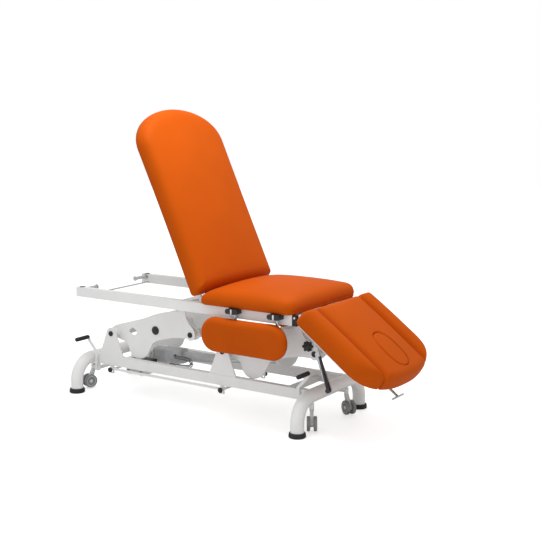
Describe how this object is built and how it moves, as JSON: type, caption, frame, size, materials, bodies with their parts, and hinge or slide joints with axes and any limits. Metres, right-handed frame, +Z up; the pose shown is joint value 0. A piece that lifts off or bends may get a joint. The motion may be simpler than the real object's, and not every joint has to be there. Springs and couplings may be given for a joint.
{
  "type": "electric treatment table",
  "caption": "Motor-lifted treatment table on a footed base, with seat, tilting backrest, leg section with face opening and hanging side armrests.",
  "frame": {"origin": "middle of the whole part in plan, on the floor under its feet", "axes": "+X along the table towards the leg section, +Y towards the far side, +Z up"},
  "size_m": [1.8933, 0.695, 1.4979],
  "materials": {
    "white_coat": "satin white powder coat",
    "black_plastic": "matt black moulded plastic",
    "black_rubber": "matt black rubber",
    "black_steel": "satin black coated steel",
    "grey_housing": "mid grey actuator housing",
    "steel": "brushed steel rod",
    "caster_grey": "pale grey moulded caster housing",
    "tread_grey": "dark grey tread on pale hubs",
    "orange_vinyl": "orange coated upholstery, faint grain",
    "plywood": "plain plywood board"
  },
  "bodies": {
    "base": {"left_end_arch": "white_coat", "right_end_arch": "white_coat", "near_base_rail": "white_coat", "far_base_rail": "white_coat", "base_cross_members": "white_coat", "rubber_feet": "black_rubber", "control_box": "black_plastic"},
    "foot_control": {"foot_control_bar": "white_coat"},
    "lift_actuator": {"lift_actuator_body": "grey_housing", "curly_cord": "black_plastic"},
    "lift_rod": {"lift_actuator_rod": "steel"},
    "left_arm": {"left_lift_arm": "white_coat", "left_arm_pins": "black_plastic"},
    "right_arm": {"right_lift_arm": "white_coat", "right_arm_pins": "black_plastic"},
    "left_lever": {"left_caster_axle": "white_coat", "left_lever_grip": "black_rubber"},
    "right_lever": {"right_caster_axle": "white_coat", "right_lever_grip": "black_rubber"},
    "upper_frame": {"near_upper_rail": "white_coat", "far_upper_rail": "white_coat", "left_hanger": "white_coat", "right_hanger": "white_coat", "rail_plugs": "black_plastic", "paper_roll_pegs": "steel", "seat_board": "plywood", "seat_cushion": "orange_vinyl", "armrest_clamps": "black_plastic", "stay_bar": "steel", "back_actuator_body": "grey_housing"},
    "backrest": {"backrest_frame": "white_coat", "backrest_board": "plywood", "backrest_cushion": "orange_vinyl"},
    "back_rod": {"back_actuator_rod": "steel"},
    "leg_section": {"leg_frame": "white_coat", "leg_board": "plywood", "leg_cushion": "orange_vinyl", "near_wing": "orange_vinyl", "far_wing": "orange_vinyl"},
    "plug": {"face_plug": "orange_vinyl"},
    "handle": {"release_handle": "steel"},
    "gas_cylinder": {"gas_spring_cylinder": "black_steel"},
    "gas_rod": {"gas_spring_rod": "steel"},
    "near_armrest": {"near_armrest_posts": "steel", "near_armrest_pad": "orange_vinyl"},
    "far_armrest": {"far_armrest_posts": "steel", "far_armrest_pad": "orange_vinyl"},
    "star": {"star_knob": "black_plastic"},
    "near_left_fork": {"near_left_caster": "caster_grey"},
    "near_left_wheel_pair": {"near_left_wheels": "tread_grey"},
    "far_left_fork": {"far_left_caster": "caster_grey"},
    "far_left_wheel_pair": {"far_left_wheels": "tread_grey"},
    "near_right_fork": {"near_right_caster": "caster_grey"},
    "near_right_wheel_pair": {"near_right_wheels": "tread_grey"},
    "far_right_fork": {"far_right_caster": "caster_grey"},
    "far_right_wheel_pair": {"far_right_wheels": "tread_grey"},
    "near_left_clamp_knob": {"near_left_knob": "black_plastic"},
    "near_right_clamp_knob": {"near_right_knob": "black_plastic"},
    "far_left_clamp_knob": {"far_left_knob": "black_plastic"},
    "far_right_clamp_knob": {"far_right_knob": "black_plastic"}
  },
  "joints": [
    {"name": "lift", "type": "hinge", "parent": "base", "child": "left_arm", "pos_m": [-0.75072, 0, 0.32], "axis": [0, -1, 0], "range_deg": [-9, 34]},
    {"name": "right_arm_lift", "type": "hinge", "parent": "base", "child": "right_arm", "pos_m": [-0.01272, 0, 0.32], "axis": [0, -1, 0], "range_deg": [-9, 34]},
    {"name": "frame_level", "type": "hinge", "parent": "left_arm", "child": "upper_frame", "pos_m": [-0.21388, 0, 0.37832], "axis": [0, -1, 0], "range_deg": [-34, 9]},
    {"name": "lift_actuator_tilt", "type": "hinge", "parent": "base", "child": "lift_actuator", "pos_m": [-0.61772, 0, 0.195], "axis": [0, -1, 0], "range_deg": [-0.85, 3.07]},
    {"name": "lift_actuator_stroke", "type": "slide", "parent": "lift_actuator", "child": "lift_rod", "axis": [0.9981, 0, 0.061], "range_m": [-0.0121, 0.0452]},
    {"name": "foot_control_press", "type": "slide", "parent": "base", "child": "foot_control", "axis": [0, 0, 1], "range_m": [-0.01, 0], "stiffness_N_per_m": 20000, "springref_m": 0.001},
    {"name": "left_caster_lever", "type": "hinge", "parent": "base", "child": "left_lever", "pos_m": [-0.85472, 0, 0.118], "axis": [0, -1, 0], "range_deg": [0, 12]},
    {"name": "right_caster_lever", "type": "hinge", "parent": "base", "child": "right_lever", "pos_m": [0.44928, 0, 0.118], "axis": [0, 1, 0], "range_deg": [0, 12]},
    {"name": "backrest_recline", "type": "hinge", "parent": "upper_frame", "child": "backrest", "pos_m": [-0.07772, 0, 0.59032], "axis": [0, -1, 0], "range_deg": [0, 65]},
    {"name": "back_actuator_stroke", "type": "slide", "parent": "upper_frame", "child": "back_rod", "axis": [1, 0, 0], "range_m": [0, 0.0862]},
    {"name": "leg_section_lift", "type": "hinge", "parent": "upper_frame", "child": "leg_section", "pos_m": [0.47178, 0, 0.56032], "axis": [0, -1, 0], "range_deg": [0, 36.6]},
    {"name": "gas_spring_tilt", "type": "hinge", "parent": "upper_frame", "child": "gas_cylinder", "pos_m": [0.61228, -0.207, 0.22], "axis": [0, -1, 0], "range_deg": [-14.67, 0]},
    {"name": "gas_spring_stroke", "type": "slide", "parent": "gas_cylinder", "child": "gas_rod", "axis": [-0.2764, 0, 0.961], "range_m": [0, 0.0608]},
    {"name": "face_plug_lift_out", "type": "slide", "parent": "leg_section", "child": "plug", "axis": [0.5962, 0, 0.8028], "range_m": [0, 0.1]},
    {"name": "release_handle_pull", "type": "slide", "parent": "leg_section", "child": "handle", "axis": [0.8028, 0, -0.5962], "range_m": [0, 0.01], "stiffness_N_per_m": 3000, "springref_m": -0.004},
    {"name": "near_armrest_slide", "type": "slide", "parent": "upper_frame", "child": "near_armrest", "axis": [0, 0, 1], "range_m": [-0.12, 0]},
    {"name": "far_armrest_slide", "type": "slide", "parent": "upper_frame", "child": "far_armrest", "axis": [0, 0, 1], "range_m": [-0.12, 0]},
    {"name": "star_knob_turn", "type": "hinge", "parent": "upper_frame", "child": "star", "pos_m": [0.49412, -0.19, 0.41432], "axis": [0, -1, 0], "continuous": true},
    {"name": "near_left_swivel", "type": "hinge", "parent": "left_lever", "child": "near_left_fork", "pos_m": [-0.90472, -0.165, 0.1], "axis": [0, 0, 1], "continuous": true},
    {"name": "near_left_roll", "type": "hinge", "parent": "near_left_fork", "child": "near_left_wheel_pair", "pos_m": [-0.91327, -0.18849, 0.04], "axis": [0.9397, -0.342, 0], "continuous": true},
    {"name": "far_left_swivel", "type": "hinge", "parent": "left_lever", "child": "far_left_fork", "pos_m": [-0.90472, 0.165, 0.1], "axis": [0, 0, 1], "continuous": true},
    {"name": "far_left_roll", "type": "hinge", "parent": "far_left_fork", "child": "far_left_wheel_pair", "pos_m": [-0.90906, 0.18962, 0.04], "axis": [-0.9848, -0.1736, 0], "continuous": true},
    {"name": "near_right_swivel", "type": "hinge", "parent": "right_lever", "child": "near_right_fork", "pos_m": [0.49928, -0.165, 0.1], "axis": [0, 0, 1], "continuous": true},
    {"name": "near_right_roll", "type": "hinge", "parent": "near_right_fork", "child": "near_right_wheel_pair", "pos_m": [0.51326, -0.18573, 0.04], "axis": [0.829, 0.5592, 0], "continuous": true},
    {"name": "far_right_swivel", "type": "hinge", "parent": "right_lever", "child": "far_right_fork", "pos_m": [0.49928, 0.165, 0.1], "axis": [0, 0, 1], "continuous": true},
    {"name": "far_right_roll", "type": "hinge", "parent": "far_right_fork", "child": "far_right_wheel_pair", "pos_m": [0.52093, 0.1525, 0.04], "axis": [0.5, 0.866, 0], "continuous": true},
    {"name": "near_left_knob_turn", "type": "hinge", "parent": "upper_frame", "child": "near_left_clamp_knob", "pos_m": [0.14428, -0.319, 0.561], "axis": [0, 1, 0], "continuous": true},
    {"name": "near_right_knob_turn", "type": "hinge", "parent": "upper_frame", "child": "near_right_clamp_knob", "pos_m": [0.38428, -0.319, 0.561], "axis": [0, 1, 0], "continuous": true},
    {"name": "far_left_knob_turn", "type": "hinge", "parent": "upper_frame", "child": "far_left_clamp_knob", "pos_m": [0.14428, 0.319, 0.561], "axis": [0, 1, 0], "continuous": true},
    {"name": "far_right_knob_turn", "type": "hinge", "parent": "upper_frame", "child": "far_right_clamp_knob", "pos_m": [0.38428, 0.319, 0.561], "axis": [0, 1, 0], "continuous": true}
  ],
  "couplings": [
    {"joint": "right_arm_lift", "follows": "lift", "ratio": 1},
    {"joint": "frame_level", "follows": "lift", "ratio": -1},
    {"joint": "lift_actuator_tilt", "follows": "lift", "ratio": 0.0887},
    {"joint": "lift_actuator_stroke", "follows": "lift", "m_per_rad": 0.0758},
    {"joint": "back_actuator_stroke", "follows": "backrest_recline", "m_per_rad": 0.07578},
    {"joint": "gas_spring_tilt", "follows": "leg_section_lift", "ratio": -0.398},
    {"joint": "gas_spring_stroke", "follows": "leg_section_lift", "m_per_rad": 0.0948}
  ]
}
